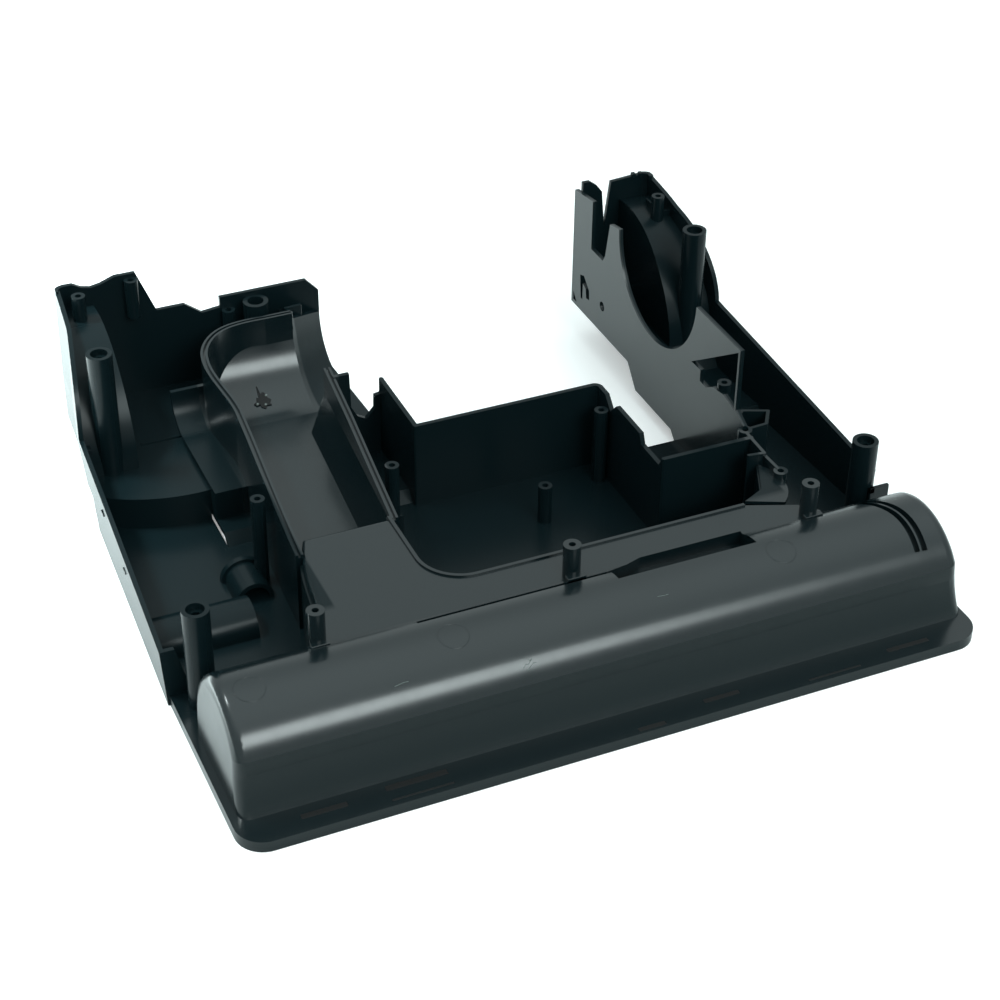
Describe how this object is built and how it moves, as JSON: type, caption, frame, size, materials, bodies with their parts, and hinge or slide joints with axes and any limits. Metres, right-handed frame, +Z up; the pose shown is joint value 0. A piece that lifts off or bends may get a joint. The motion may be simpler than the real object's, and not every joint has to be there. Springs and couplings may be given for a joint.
{
  "type": "lower housing of a vacuum cleaner floor head",
  "caption": "Black plastic base moulding with an arched brush chamber, motor bay, air duct and two rear side pods with screw posts.",
  "frame": {"origin": "on the bottom plane, under the middle of the moulding's length and depth", "axes": "+X to the right along the front edge, +Y to the rear, +Z up"},
  "size_m": [0.3452, 0.31, 0.089],
  "materials": {
    "black_abs": "gloss"
  },
  "bodies": {
    "root": {"base_housing": "black_abs"}
  },
  "joints": []
}
